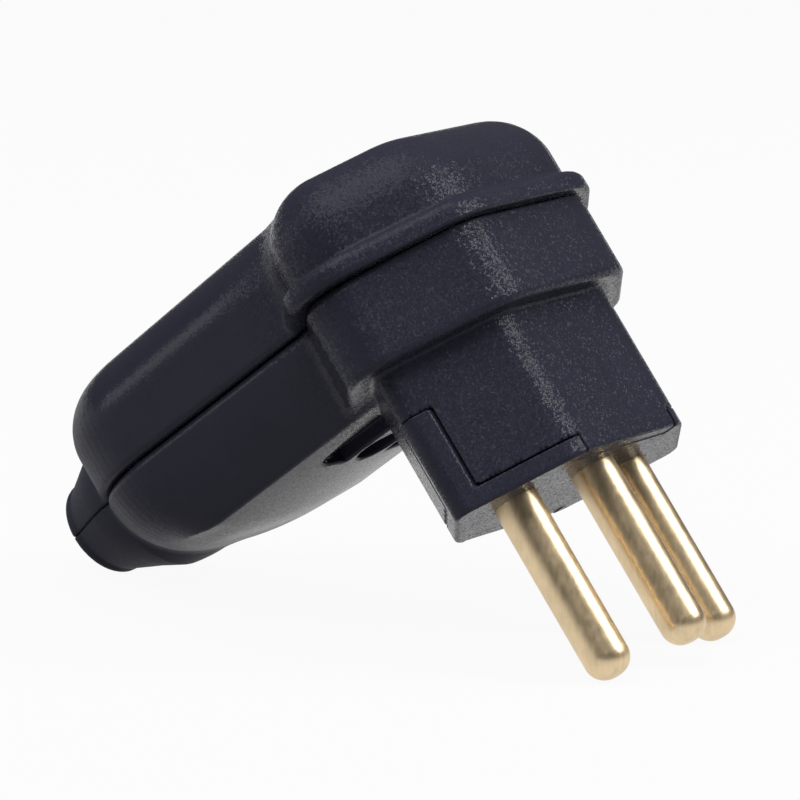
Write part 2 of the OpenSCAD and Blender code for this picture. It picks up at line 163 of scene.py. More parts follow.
@dataclass(frozen=True)
class MouldedPlastic:
    """Black plastic from a spark-eroded mould: a fine sparkling grain, calm on the arm, matt at its end."""

    name: str
    colour: tuple[float, float, float]
    roughness: float
    grain: float
    sparkle: float
    along: tuple[float, float, float]
    arm_from: float
    end_from: float
    arm_fade: float = 0.008
    arm_calm: float = 0.8
    end_fade: float = 0.010
    end_matt: float = 0.38
    specular: float = 0.07
    tone: float = 0.1
    cloud_per_m: float = 170.0
    cloud_share: float = 0.6
    cloud_shine: float = 0.10
    grain_per_m: float = 6000.0
    grain_height: float = 0.00003
    grain_shine: float = 0.16

    def material(self) -> bpy.types.Material:
        """Return the finish as a material."""
        graph = Graph(self.name)
        place = graph.node("ShaderNodeTexCoord", out="Object")
        cloud = graph.node("ShaderNodeTexNoise", Vector=place, Scale=self.cloud_per_m,
                           Detail=3.0, Roughness=0.55)
        fine = graph.node("ShaderNodeTexNoise", Vector=place, Scale=self.grain_per_m,
                          Detail=1.0, Roughness=0.5)
        facet = graph.node("ShaderNodeTexVoronoi", {"feature": "F1"}, out="Color", Vector=place,
                           Scale=self.grain_per_m)
        dark = tuple(c * (1 - self.tone) for c in self.colour)
        light = tuple(c * (1 + self.tone) for c in self.colour)
        mottle = cloud * self.cloud_share + fine * (1 - self.cloud_share)
        colour = mottle.over(*NOISE_SPREAD).tint(dark, light)
        way = graph.node("ShaderNodeVectorMath", {"operation": "DOT_PRODUCT"}, out="Value",
                         i0=place, i1=self.along)
        coarse = 1 - way.over(self.arm_from, self.arm_from + self.arm_fade) * self.arm_calm
        matt = way.over(self.end_from, self.end_from + self.end_fade) * self.end_matt
        pebble = graph.node("ShaderNodeBump", Height=fine * coarse, Strength=self.grain,
                            Distance=self.grain_height)
        lean = graph.node("ShaderNodeVectorMath", {"operation": "SCALE"},
                          i0=facet.vector("SUBTRACT", (0.5, 0.5, 0.5)), Scale=coarse * self.sparkle)
        level = self.roughness - (self.cloud_shine + self.grain_shine) / 2
        shine = cloud * self.cloud_shine + fine * self.grain_shine + matt + level
        return graph.close(graph.node(
            "ShaderNodeBsdfPrincipled", Base_Color=colour, Roughness=shine, Specular_IOR_Level=self.specular,
            Normal=pebble.vector("ADD", lean).vector("NORMALIZE")))


@dataclass(frozen=True)
class SatinBrass:
    """Turned and tumbled brass: pale gold, mottled, with fine lengthwise streaks."""

    name: str
    colour: tuple[float, float, float]
    roughness: float
    along: tuple[float, float, float]
    dark: float = 0.76
    light: float = 1.08
    spread: tuple[float, float] = (0.32, 0.68)
    stretch: float = 0.12
    streak_per_m: float = 2600.0
    streak_share: float = 0.4
    streak_shine: float = 0.14
    streak_bump: float = 0.2
    streak_height: float = 0.00003
    spot_per_m: float = 420.0
    spot_shine: float = 0.12

    def material(self) -> bpy.types.Material:
        """Return the finish as a material."""
        graph = Graph(self.name)
        place = graph.node("ShaderNodeTexCoord", out="Object")
        tilt = math.atan2(self.along[1], -self.along[2])
        laid = graph.node("ShaderNodeMapping", Vector=place, Rotation=(tilt, 0, 0),
                          Scale=(1, 1, self.stretch))
        streak = graph.node("ShaderNodeTexNoise", Vector=laid, Scale=self.streak_per_m,
                            Detail=3.0, Roughness=0.6)
        spot = graph.node("ShaderNodeTexNoise", Vector=place, Scale=self.spot_per_m,
                          Detail=3.0, Roughness=0.6)
        dark = tuple(c * self.dark for c in self.colour)
        light = tuple(min(c * self.light, 1) for c in self.colour)
        mottle = streak * self.streak_share + spot * (1 - self.streak_share)
        colour = mottle.over(*self.spread).tint(dark, light)
        level = self.roughness - (self.streak_shine + self.spot_shine) / 2
        shine = streak * self.streak_shine + spot * self.spot_shine + level
        bump = graph.node("ShaderNodeBump", Height=streak, Strength=self.streak_bump,
                          Distance=self.streak_height)
        return graph.close(graph.node(
            "ShaderNodeBsdfPrincipled", Base_Color=colour, Metallic=1.0, Roughness=shine, Normal=bump))


@dataclass(frozen=True)
class ZincSteel:
    """Zinc-plated screw steel, slightly mottled."""

    name: str
    colour: tuple[float, float, float]
    roughness: float
    dark: float = 0.85
    spot_per_m: float = 900.0
    spot_shine: float = 0.2

    def material(self) -> bpy.types.Material:
        """Return the finish as a material."""
        graph = Graph(self.name)
        place = graph.node("ShaderNodeTexCoord", out="Object")
        spot = graph.node("ShaderNodeTexNoise", Vector=place, Scale=self.spot_per_m, Detail=3.0)
        dark = tuple(c * self.dark for c in self.colour)
        colour = spot.over(*NOISE_SPREAD).tint(dark, self.colour)
        shine = spot * self.spot_shine + (self.roughness - self.spot_shine / 2)
        return graph.close(graph.node(
            "ShaderNodeBsdfPrincipled", Base_Color=colour, Metallic=1.0, Roughness=shine))


@dataclass(frozen=True)
class PaleFloor:
    """White paper floor that keeps a soft share of the shadow."""

    name: str
    level: float
    own_light: float

    def material(self) -> bpy.types.Material:
        """Return the finish as a material."""
        graph = Graph(self.name)
        paper = graph.node("ShaderNodeBsdfDiffuse", Color=(self.level, self.level, self.level, 1))
        glow = graph.node("ShaderNodeEmission", Color=(1, 1, 1, 1), Strength=1.0)
        seen = graph.node("ShaderNodeLightPath", out="Is Camera Ray")
        mirrored = graph.node("ShaderNodeLightPath", out="Is Glossy Ray")
        through = graph.node("ShaderNodeLightPath", out="Is Transmission Ray")
        share = (seen + mirrored + through).over(0.0, 1.0) * self.own_light
        return graph.close(graph.node("ShaderNodeMixShader", i0=share, i1=paper, i2=glow))


# Solid modelling with distance fields, in millimetres in the plug's own frame


def soft_meet(a: Array, b: Array, r: Any) -> Array:
    """Common part of two solids, their shared edge rounded by r."""
    return np.minimum(-r, np.maximum(a, b)) + np.hypot(np.maximum(a + r, 0), np.maximum(b + r, 0))


def soft_join(a: Array, b: Array, r: Any) -> Array:
    """Union of two solids, the crease between them filled by a fillet of r."""
    return np.maximum(r, np.minimum(a, b)) - np.hypot(np.maximum(r - a, 0), np.maximum(r - b, 0))


def soft_cut(a: Array, b: Array, r: Any) -> Array:
    """Solid a less solid b, the new edge rounded by r."""
    return soft_meet(a, -b, r)


@dataclass(frozen=True)
class Outline:
    """A convex outline seen along the pins, as corner points in turning order."""

    corners: Array

    @classmethod
    def round_discs(cls, discs: list[tuple[float, float, float]], steps: int = 40) -> "Outline":
        """Wrap an outline round discs.

        Args:
            discs: Discs of (x, y, radius).
            steps: Points taken on each disc.

        Returns:
            The convex outline round all discs.
        """
        turns = np.linspace(0, 2 * math.pi, steps, endpoint=False)
        ring = np.stack([np.cos(turns), np.sin(turns)], axis=1)
        cloud = sorted(tuple(p) for x, y, r in discs for p in np.round(ring * r + (x, y), 6))
        return cls(np.array(cls._half(cloud) + cls._half(cloud[::-1])))

    @staticmethod
    def _half(points: list[tuple[float, float]]) -> list[tuple[float, float]]:
        """One side of the convex wrap of sorted points, without its last point.

        Args:
            points: Sorted points.

        Returns:
            Corner points of that side.
        """
        kept: list[tuple[float, float]] = []
        for p in points:
            while len(kept) > 1 and ((kept[-1][0] - kept[-2][0]) * (p[1] - kept[-2][1])
                                     <= (kept[-1][1] - kept[-2][1]) * (p[0] - kept[-2][0])):
                kept.pop()
            kept.append(p)
        return kept[:-1]

    def distance(self, x: Array, y: Array) -> Array:
        """Signed distance to the outline, below 0 inside.

        Args:
            x: Places along the row of live pins.
            y: Places from the pin row towards the outlet.

        Returns:
            Signed distance, below 0 inside.
        """
        near = np.full(np.broadcast(x, y).shape, 1e9)
        side = np.full_like(near, -1e9)
        for a, b in zip(self.corners, np.roll(self.corners, -1, axis=0)):
            edge = b - a
            length = math.hypot(*edge)
            dx, dy = x - a[0], y - a[1]
            along = np.clip((dx * edge[0] + dy * edge[1]) / length ** 2, 0, 1)
            near = np.minimum(near, np.hypot(dx - along * edge[0], dy - along * edge[1]))
            side = np.maximum(side, (dx * edge[1] - dy * edge[0]) / length)
        return np.where(side < 0, -near, near)


Solid = Callable[[Array, Array, Array], Array]


@dataclass(frozen=True)
class Mesher:
    """Turns a distance field into an even mesh of quads that lies on its surface."""

    step: float
    low: tuple[float, float, float]
    high: tuple[float, float, float]
    passes: int = 4

    def build(self, solid: Solid) -> tuple[Array, Array, Array]:
        """Mesh a solid.

        Args:
            solid: Distance field, below 0 inside.

        Returns:
            Points, quads and the surface's direction at each point.
        """
        axes = [np.arange(lo, hi + self.step, self.step) for lo, hi in zip(self.low, self.high)]
        x, y, z = np.meshgrid(*axes, indexing="ij", sparse=True)
        level = solid(x, y, z)
        inside = level < 0
        cells = tuple(n - 1 for n in level.shape)
        total = np.zeros(cells + (3,), np.float32)
        count = np.zeros(cells, np.int8)
        crossings = []
        for axis in range(3):
            crossings.append(self._crossings(level, inside, axis, total, count))
        active = count > 0
        number = np.full(cells, -1, np.int64)
        number[active] = np.arange(int(active.sum()))
        points = np.array(self.low) + self.step * (total[active] / count[active][:, None])
        quads = np.concatenate([self._quads(crossings[a], inside, number, a) for a in range(3)])
        for _ in range(self.passes):
            value, slope = self._slope(solid, points)
            points = points - slope * np.clip(value, -self.step, self.step)[:, None]
        return points, quads, self._slope(solid, points)[1]

    @staticmethod
    def _crossings(level: Array, inside: Array, axis: int, total: Array, count: Array) -> Array:
        """Find the grid edges along an axis that cross the surface, and add them to the cells round them.

        Args:
            level: Field values on the grid.
            inside: Where the field is below 0.
            axis: Number of the axis.
            total: Sum of the crossing points of each cell, added to.
            count: Number of crossings of each cell, added to.

        Returns:
            Grid places of the crossed edges.
        """
        first = [slice(None)] * 3
        second = [slice(None)] * 3
        first[axis], second[axis] = slice(None, -1), slice(1, None)
        a, b = level[tuple(first)], level[tuple(second)]
        crossed = inside[tuple(first)] != inside[tuple(second)]
        at = np.argwhere(crossed)
        share = a[crossed] / (a[crossed] - b[crossed])
        spot = at.astype(np.float32)
        spot[:, axis] += share
        others = [k for k in range(3) if k != axis]
        for i in (0, 1):
            for j in (0, 1):
                cell = at.copy()
                cell[:, others[0]] -= i
                cell[:, others[1]] -= j
                good = np.all((cell >= 0) & (cell < np.array(count.shape)), axis=1)
                where = tuple(cell[good].T)
                np.add.at(total, where, spot[good])
                np.add.at(count, where, 1)
        return at

    @staticmethod
    def _quads(at: Array, inside: Array, number: Array, axis: int) -> Array:
        """Quads round the crossed grid edges of one axis, turned outwards.

        Args:
            at: Grid places of the crossed edges.
            inside: Where the field is below 0.
            number: Point number of each cell.
            axis: Number of the axis.

        Returns:
            Four point numbers for each quad.
        """
        u, v = (axis + 1) % 3, (axis + 2) % 3
        at = at[(at[:, u] > 0) & (at[:, v] > 0) & (at[:, u] < number.shape[u]) & (at[:, v] < number.shape[v])]
        corners = []
        for du, dv in ((-1, -1), (0, -1), (0, 0), (-1, 0)):
            cell = at.copy()
            cell[:, u] += du
            cell[:, v] += dv
            corners.append(number[tuple(cell.T)])
        quads = np.stack(corners, axis=1)
        leaving = inside[tuple(at.T)]
        quads[~leaving] = quads[~leaving][:, ::-1]
        return quads

    @staticmethod
    def _slope(solid: Solid, points: Array, reach: float = 0.02) -> tuple[Array, Array]:
        """Measure the field at scattered points.

        Args:
            solid: Distance field.
            points: Where to measure.
            reach: Half of the distance over which the slope is taken.

        Returns:
            Field values and unit slopes.
        """
        x, y, z = points.T
        value = solid(x, y, z)
        slope = np.stack([solid(x + reach, y, z) - solid(x - reach, y, z),
                          solid(x, y + reach, z) - solid(x, y - reach, z),
                          solid(x, y, z + reach) - solid(x, y, z - reach)], axis=1)
        size = np.linalg.norm(slope, axis=1, keepdims=True)
        return value, slope / np.maximum(size, 1e-9)


# The plug's sub-assemblies


@dataclass(frozen=True)
class ContactPins:
    """Three turned contact pins."""

    diameter: float = 4.5
    length: float = 19.0
    pitch: float = 19.0
    earth_offset: float = 3.0
    tip_r: float = 2.0

    def places(self) -> dict[str, tuple[float, float]]:
        """Node names of the pins and where they stand."""
        half = self.pitch / 2
        return {"line_pin": (-half, 0.0), "neutral_pin": (half, 0.0), "earth_pin": (0.0, -self.earth_offset)}


@dataclass(frozen=True)
class CordOutlet:
    """Turned snout that the cord leaves by, split along the parting plane: neck, taper and rounded rim."""

    neck_r: float = 8.2
    taper_y: float = 43.5
    end: float = 51.4
    rim_r: float = 5.15
    edge_r: float = 0.85
    step: float = 0.2
    bore_d: float = 7.0
    bore_from: float = 30.0
    mouth: float = 0.5
    axis_z: float = PARTING
    root_y: float = 37.0
    taper_blend_r: float = 1.5
    rim_blend_r: float = 0.2
    belly: float = 0.6
    belly_end: float = 46.2

    @property
    def rim_y(self) -> float:
        """Distance from the pin row to the middle of the rim's rounding."""
        return self.end - self.edge_r

    @property
    def rim_mid_r(self) -> float:
        """Radius of the middle of the rim's rounding."""
        return self.rim_r - self.edge_r

    def solid(self, x: Array, y: Array, z: Array) -> Array:
        """Outside of the snout.

        Args:
            x: Places along the row of live pins.
            y: Places from the pin row towards the outlet.
            z: Heights over the block's face.

        Returns:
            Signed distance, below 0 inside.
        """
        off = np.hypot(x, z - self.axis_z)
        full = np.clip((self.belly_end - y) / (self.belly_end - self.taper_y), 0, 1)
        off = off - self.belly * full * np.clip((self.axis_z - z) / self.neck_r, 0, 1) ** 2
        lean = (self.neck_r - self.rim_r + self.step) / (self.rim_y - self.taper_y)
        taper = (off - self.neck_r + lean * (y - self.taper_y)) / math.hypot(1, lean)
        length = np.maximum(self.root_y - y, y - self.rim_y)
        neck = np.maximum(soft_meet(off - self.neck_r, taper, self.taper_blend_r), length)
        rim = np.hypot(off - self.rim_mid_r, y - self.rim_y) - self.edge_r
        face = np.maximum(off - self.rim_mid_r, np.maximum(self.rim_y - y, y - self.end))
        return soft_join(np.minimum(neck, face), rim, self.rim_blend_r)

    def bore(self, x: Array, y: Array, z: Array) -> Array:
        """Space of the cord's bore with its flared mouth.

        Args:
            x: Places along the row of live pins.
            y: Places from the pin row towards the outlet.
            z: Heights over the block's face.

        Returns:
            Signed distance, below 0 inside.
        """
        off = np.hypot(x, z - self.axis_z)
        flare = np.maximum(y - self.end + self.mouth, 0)
        return np.maximum(off - self.bore_d / 2 - flare, self.bore_from - y)


@dataclass(frozen=True)
class EngagementBlock:
    """Hexagonal block that enters the socket."""

    width: float = 39.0
    flat: float = 17.7
    height: float = 17.6
    depth: float = 15.3
    wall: float = 1.6
    inner_r: float = 0.05
    tip_r: float = 1.5
    corner_r: float = 4.5
    band_h: float = 1.8
    band_break: float = 15.6
    leg_h: float = 10.3
    leg_w: float = 3.8
    leg_top_gap: float = 0.03

    def outline(self, out: float, soften: float) -> Outline:
        """Hexagon moved outwards, its corner roundings grown.

        Args:
            out: Offset of its sides.
            soften: Growth of its corner roundings.

        Returns:
            The rounded outline.
        """
        half_tip = math.atan2(self.height, self.width - self.flat)
        discs = []
        for r, tip in ((self.tip_r + soften, True), (self.corner_r + soften, False)):
            d = out - r
            if tip:
                end = self.width / 2 + d / math.sin(half_tip)
                discs += [(end, 0.0, r), (-end, 0.0, r)]
            else:
                side = self.flat / 2 + d * math.tan(half_tip / 2)
                discs += [(sx * side, sy * (self.height / 2 + d), r) for sx in (-1, 1) for sy in (-1, 1)]
        return Outline.round_discs(discs)

    def cavity(self, gap: float) -> Outline:
        """Sharp hexagon of the block's inside, made smaller by gap."""
        return self.outline(-self.wall - gap, self.inner_r - self.tip_r)

    def leg_space(self, x: Array, y: Array, z: Array, gap: float) -> Array:
        """Space of the locking legs at both pointed ends, grown by gap, but less at their upper end.

        Args:
            x: Places along the row of live pins.
            y: Places from the pin row towards the outlet.
            z: Heights over the block's face.
            gap: Growth of the space.

        Returns:
            Signed distance, below 0 inside.
        """
        inner = self.width / 2 - 2 * self.wall - self.leg_w
        top = z - self.leg_h - min(gap, self.leg_top_gap)
        return np.maximum(np.maximum(np.abs(y) - self.leg_w / 2 - gap, top), inner - gap - np.abs(x))

    def band_space(self, x: Array, z: Array, gap: float) -> Array:
        """Space of the carrier's band round both pointed ends, grown by gap."""
        return np.maximum(z - self.band_h - gap, self.band_break / 2 - gap - np.abs(x))


@dataclass(frozen=True)
class Arm:
    """Arm that runs from the head to the cord outlet."""

    width: float = 29.8
    end: float = 44.4
    end_r: float = 12.6
    root_r: float = 5.5
    top_z: float = 35.6
    fall: float = 1.2
    top_edge_r: float = 6.0
    overhang: float = 0.3
    under_edge_z: float = 14.8
    under_inset: float = 2.4
    under_curve: float = 1.6
    under_past: float = 1.2
    under_half: float = 12.8
    crown: float = 0.95
    under_edge_r: float = 0.35
    end_under_z: float = 13.2
    end_rise: float = 1.7
    end_under_r: float = 8.6
    crisp_to: float = 29.0
    round_from: float = 38.0
    outline_steps: int = 72
    calm_from: float = 8.0
    matt_from: float = 33.0

    def outline(self, inset: float) -> Outline:
        """Outline of the arm, moved inwards.

        Args:
            inset: How far inwards.

        Returns:
            The moved outline.
        """
        discs = []
        for side in (-1, 1):
            for r, y in ((self.end_r, self.end - self.end_r), (self.root_r, self.root_r)):
                discs.append((side * (self.width / 2 - r), y, r - inset))
        return Outline.round_discs(discs, self.outline_steps)

    def under_at(self, x: Any) -> Any:
        """Height of the crowned underside."""
        return self.under_edge_z - self.crown * (1 - (x / self.under_half) ** 2)

    def upper(self, x: Array, y: Array, z: Array) -> Array:
        """The cover's arm.

        Args:
            x: Places along the row of live pins.
            y: Places from the pin row towards the outlet.
            z: Heights over the block's face.

        Returns:
            Signed distance, below 0 inside.
        """
        lean = self.fall / self.end
        top = (z - self.top_z + lean * y) / math.hypot(1, lean)
        return soft_meet(self.outline(0).distance(x, y), top, self.top_edge_r)

    def lower(self, x: Array, y: Array, z: Array) -> Array:
        """The base's arm: sides that curve inwards to a crisp lower edge, and a fully rounded end.

        Args:
            x: Places along the row of live pins.
            y: Places from the pin row towards the outlet.
            z: Heights over the block's face.

        Returns:
            Signed distance, below 0 inside.
        """
        plan = self.outline(self.overhang).distance(x, y)
        down = np.clip((PARTING - z) / (PARTING - self.under_edge_z), 0, self.under_past)
        side = plan + self.under_inset * down ** self.under_curve
        crisp = soft_meet(side, self.under_at(x) - z, self.under_edge_r)
        end_under = self.end_under_z + self.end_rise * y / self.end
        rounded = soft_meet(plan, end_under - z, self.end_under_r)
        share = np.clip((y - self.crisp_to) / (self.round_from - self.crisp_to), 0, 1)
        share = share * share * (3 - 2 * share)
        return crisp * (1 - share) + rounded * share


@dataclass(frozen=True)
class ClosingScrew:
    """Place of the closing screw and of the dished recess in the arm's underside round it."""

    y: float = 16.5
    shank_d: float = 3.4
    head_d: float = 5.0
    length: float = 13.0
    seat: float = 5.0
    floor: float = 2.4
    boss_wall: float = 1.8
    gap: float = 0.1
    head_gap: float = 0.2
    tip_gap: float = 1.0
    well_edge_r: float = 0.25
    recess_half: float = 10.6
    recess_narrowing: float = 0.28
    recess_end: float = 18.8
    recess_corner_r: float = 1.8
    recess_depth: float = 1.6
    recess_rim: float = 0.1
    recess_rib: float = 6.6
    recess_edge_r: float = 0.3

    def radius(self, x: Array, y: Array) -> Array:
        """Distance from the screw's axis."""
        return np.hypot(x, y - self.y)


@dataclass
class Housing:
    """Both shells of the housing and the pin carrier, moulded in one family of shapes."""

    block: EngagementBlock = field(default_factory=EngagementBlock)
    arm: Arm = field(default_factory=Arm)
    outlet: CordOutlet = field(default_factory=CordOutlet)
    screw: ClosingScrew = field(default_factory=ClosingScrew)
    pins: ContactPins = field(default_factory=ContactPins)
    wall: float = 2.0
    head_ledge: float = 2.65
    head_edge_r: float = 0.8
    head_arm_r: float = 0.9
    block_edge_r: float = 0.3
    block_root_r: float = 0.45
    cavity_top: float = 1.0
    lip_out: float = 1.2
    lip_h: float = 2.3
    lip_edge_r: float = 1.1
    lip_root_r: float = 0.5
    dome_setback: float = 1.4
    dome_z: float = 35.5
    dome_edge_r: float = 6.5
    dome_soften: float = 5.0
    dome_arm_r: float = 1.6
    outlet_root_r: float = 0.7
    boss_overlap: float = 1.0
    seam: float = 0.03
    seam_places: tuple[float, ...] = (-7.0, -2.0, 42.0, 45.0)
    plate_t: float = 4.0
    plate_gap: float = 0.1
    tower_h: float = 11.0
    tower_wall: float = 0.8
    pin_seat_d: float = 5.0
    pin_gap: float = 0.02
    seat_z: float = 1.0
    face_proud: float = 0.06
    leg_gap: float = 0.2
    band_gap: float = 0.09
    slot_edge_r: float = 0.08
    slot_shrink: float = 0.02
    cover_seam_r: float = 0.7
    base_seam_r: float = 1.1
    fine_seam_r: float = 0.3

    def seam_r(self, y: Array, wide: float) -> Array:
        """Edge rounding along the parting line: fine in front and at the outlet, wide along the arm."""
        return np.interp(y, self.seam_places, (self.fine_seam_r, wide, wide, self.fine_seam_r / 2))

    def cover(self, x: Array, y: Array, z: Array) -> Array:
        """Upper shell: dome, lip, arm and half of the outlet.

        Args:
            x: Places along the row of live pins.
            y: Places from the pin row towards the outlet.
            z: Heights over the block's face.

        Returns:
            Signed distance, below 0 inside.
        """
        lip_off = self.head_ledge + self.lip_out
        dome_2d = self.block.outline(lip_off - self.dome_setback, self.dome_soften).distance(x, y)
        dome = soft_meet(dome_2d, z - self.dome_z, self.dome_edge_r)
        core = soft_join(dome, self.arm.upper(x, y, z), self.dome_arm_r)
        lip_2d = self.block.outline(lip_off, lip_off).distance(x, y)
        lip = soft_meet(lip_2d, z - PARTING - self.lip_h, self.lip_edge_r)
        body = soft_join(core, lip, self.lip_root_r)
        body = soft_join(body, self.outlet.solid(x, y, z), self.outlet_root_r)
        boss = np.maximum(self.screw.radius(x, y) - self.screw.shank_d / 2 - self.screw.boss_wall,
                          self.screw_seat_z() + self.screw.floor - z)
        hollow = np.maximum(core + self.wall, -boss)
        shell = np.maximum(body, -hollow)
        shell = soft_meet(shell, PARTING + self.seam - z, self.seam_r(y, self.cover_seam_r))
        inside_boss = np.maximum(boss, z - PARTING - self.boss_overlap)
        shell = np.minimum(shell, inside_boss)
        shell = np.maximum(shell, -self.outlet.bore(x, y, z))
        hole = np.maximum(self.screw.radius(x, y) - self.screw.shank_d / 2 - self.screw.gap,
                          z - self.screw_seat_z() - self.screw.length - self.screw.tip_gap)
        return np.maximum(shell, -hole)

    def screw_seat_z(self) -> float:
        """Height of the closing screw's seat."""
        return self.arm.under_at(0.0) + self.screw.seat

    def base(self, x: Array, y: Array, z: Array) -> Array:
        """Lower shell: engagement block, head, arm and half of the outlet.

        Args:
            x: Places along the row of live pins.
            y: Places from the pin row towards the outlet.
            z: Heights over the block's face.

        Returns:
            Signed distance, below 0 inside.
        """
        head_2d = self.block.outline(self.head_ledge, self.head_ledge).distance(x, y)
        head = soft_meet(head_2d, self.block.depth - z, self.head_edge_r)
        arm = self.arm.lower(x, y, z)
        core = soft_join(head, arm, self.head_arm_r)
        block_2d = self.block.outline(0, 0).distance(x, y)
        block = soft_meet(block_2d, -z, self.block_edge_r)
        body = soft_join(core, block, self.block_root_r)
        body = soft_join(body, self.outlet.solid(x, y, z), self.outlet_root_r)
        screw_r = self.screw.radius(x, y)
        well_r = self.screw.head_d / 2 + self.screw.head_gap
        seat = self.screw_seat_z()
        recess = self.recess(x, y, z)
        boss = np.maximum(screw_r - well_r - self.screw.boss_wall, z - seat - self.screw.floor)
        hollow = np.maximum(np.maximum(core + self.wall, recess - self.wall), -boss)
        cavity_z = self.block.depth + self.wall + self.cavity_top
        hollow = np.minimum(hollow, np.maximum(self.block.cavity(0).distance(x, y), z - cavity_z))
        shell = np.maximum(body, -hollow)
        shell = soft_meet(shell, z - PARTING + self.seam, self.seam_r(y, self.base_seam_r))
        shell = soft_cut(shell, recess, self.screw.recess_edge_r)
        shell = np.maximum(shell, -self.outlet.bore(x, y, z))
        shell = soft_cut(shell, self.block.leg_space(x, y, z, self.leg_gap), self.slot_edge_r)
        shell = soft_cut(shell, self.block.band_space(x, z, self.band_gap), self.slot_edge_r)
        shell = soft_cut(shell, np.maximum(screw_r - well_r, z - seat), self.screw.well_edge_r)
        return np.maximum(shell, self.screw.shank_d / 2 + self.screw.gap - screw_r)

    def recess(self, x: Array, y: Array, z: Array) -> Array:
        """Recess in the arm's underside on both sides of the rib with the screw hole.

        Args:
            x: Places along the row of live pins.
            y: Places from the pin row towards the outlet.
            z: Heights over the block's face.

        Returns:
            Signed distance, below 0 inside.
        """
        s = self.screw
        start = self.block.height / 2
        rib = s.recess_rib / 2
        half = s.recess_half - s.recess_narrowing * (y - start)
        out = np.clip((np.abs(x) - rib) / (half - rib), 0, 1)
        roof = self.arm.under_at(x) + s.recess_depth + (s.recess_rim - s.recess_depth) * out
        plan = soft_meet(np.abs(x) - half, y - s.recess_end, s.recess_corner_r)
        plan = np.maximum(plan, start - y)
        return soft_cut(np.maximum(plan, z - roof), np.abs(x) - rib, s.recess_edge_r)

    def carrier(self, x: Array, y: Array, z: Array) -> Array:
        """Insulating insert: plate, bands, locking legs and the towers round the pins.

        Args:
            x: Places along the row of live pins.
            y: Places from the pin row towards the outlet.
            z: Heights over the block's face.

        Returns:
            Signed distance, below 0 inside.
        """
        skin = self.block.outline(0, 0).distance(x, y)
        front = -z - self.face_proud
        face = soft_meet(skin, front, self.block_edge_r)
        band = soft_meet(face, self.block.band_space(x, z, -self.slot_shrink), self.slot_edge_r)
        leg = soft_meet(face, self.block.leg_space(x, y, z, -self.slot_shrink), self.slot_edge_r)
        inner = self.block.cavity(self.plate_gap).distance(x, y)
        plate = np.maximum(np.maximum(inner, z - self.plate_t), front)
        body = np.minimum(np.minimum(band, leg), plate)
        for px, py in self.pins.places().values():
            wall = np.hypot(x - px, y - py) - self.pin_seat_d / 2 - self.tower_wall
            tower = np.maximum(np.maximum(wall, z - self.tower_h), np.maximum(inner, front))
            body = np.minimum(body, tower)
        hole_r = np.where(z < self.seat_z, self.pins.diameter, self.pin_seat_d) / 2 + self.pin_gap
        for px, py in self.pins.places().values():
            body = np.maximum(body, hole_r - np.hypot(x - px, y - py))
        return body


@dataclass(frozen=True)
class Rest:
    """How the plug rests on a table: on the tips of its live pins and on the rim of its outlet."""

    tilt: float
    drop: float
    middle: float

    @classmethod
    def of(cls, pins: ContactPins, outlet: CordOutlet) -> "Rest":
        """Work out the rest from the pins and the outlet.

        Args:
            pins: Contact pins.
            outlet: Cord outlet.

        Returns:
            The rest that their tips and rim set.
        """
        pin_r = pins.diameter / 2
        run = outlet.rim_y - pin_r + pins.tip_r
        rise = outlet.axis_z - outlet.rim_mid_r + pins.length - pins.tip_r
        tilt = math.atan2(rise, run) + math.asin((pins.tip_r - outlet.edge_r) / math.hypot(run, rise))
        c, s = math.cos(tilt), math.sin(tilt)
        drop = (pin_r - pins.tip_r) * s + (pins.length - pins.tip_r) * c + pins.tip_r
        front = -(pins.earth_offset + pin_r - pins.tip_r) * c - (pins.length - pins.tip_r) * s - pins.tip_r
        back = outlet.rim_y * c + (outlet.axis_z + outlet.rim_mid_r) * s + outlet.edge_r
        return cls(tilt, drop, (front + back) / 2)

    def turn(self, points: Array) -> Array:
        """Turn directions from the plug's frame into the table's.

        Args:
            points: Directions, one to a row.

        Returns:
            The turned directions.
        """
        c, s = math.cos(self.tilt), math.sin(self.tilt)
        x, y, z = np.asarray(points, float).T
        return np.stack([x, y * c + z * s, -y * s + z * c], axis=-1)

    def lay(self, points: Array) -> Array:
        """Place points of the plug's frame, in millimetres, on the table, in metres."""
        return (self.turn(points) + (0, -self.middle, self.drop)) * MM


@dataclass
class Moulding:
    """One moulded piece of the housing, meshed from its solid and laid on the table."""

    node: str
    solid: Solid
    mesher: Mesher
    slot: Slot

    def build(self, rest: Rest, finish: bpy.types.Material) -> bpy.types.Object:
        """Mesh, lay and dress the piece.

        Args:
            rest: How the plug lies on the table.
            finish: Material of the piece.

        Returns:
            The new object, riding on the body and standing for its CAD node.
        """
        points, quads, normals = self.mesher.build(self.solid)
        mesh = bpy.data.meshes.new(self.node + "_skin")
        mesh.from_pydata(rest.lay(points).tolist(), [], quads.tolist())
        mesh.validate()
        mesh.polygons.foreach_set("use_smooth", [True] * len(mesh.polygons))
        mesh.normals_split_custom_set_from_vertices(rest.turn(normals).tolist())
        mesh.materials.append(finish)
        piece = bpy.data.objects.new(self.node + "_skin", mesh)
        bpy.context.scene.collection.objects.link(piece)
        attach(piece, BODY)
        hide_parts(self.node)
        LOG.info("%s: %d points, %d quads", piece.name, len(points), len(quads))
        return piece


# Studio


